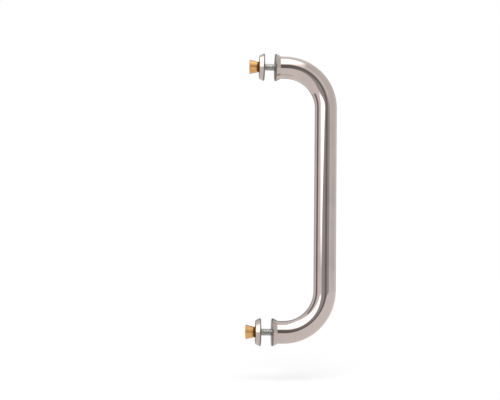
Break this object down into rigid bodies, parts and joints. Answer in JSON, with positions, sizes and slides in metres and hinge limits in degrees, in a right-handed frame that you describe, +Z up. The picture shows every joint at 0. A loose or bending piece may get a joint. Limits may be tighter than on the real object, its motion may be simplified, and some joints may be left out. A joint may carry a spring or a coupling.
{
  "type": "door pull handle",
  "caption": "Bent round-tube pull handle whose legs end in turned rosettes, clamped through a door panel by studs and brass cones and locked by set screws.",
  "frame": {"origin": "on the handle side of the door panel, midway between the two studs", "axes": "+X away from the door towards the grip, +Z up along the grip, Y across the grip"},
  "size_m": [0.1005, 0.0304, 0.3305],
  "materials": {
    "polished_steel": "mirror polished stainless steel",
    "zinc_plated_steel": "zinc plated",
    "brass": "turned",
    "screw_steel": "oiled steel"
  },
  "bodies": {
    "root": {"grip_tube": "polished_steel", "upper_inner_rosette": "polished_steel", "lower_inner_rosette": "polished_steel", "upper_outer_rosette": "polished_steel", "lower_outer_rosette": "polished_steel", "upper_stud": "zinc_plated_steel", "lower_stud": "zinc_plated_steel", "upper_inner_cone": "brass", "lower_inner_cone": "brass", "upper_outer_cone": "brass", "lower_outer_cone": "brass", "upper_grub_screw": "screw_steel", "lower_grub_screw": "screw_steel"}
  },
  "joints": []
}
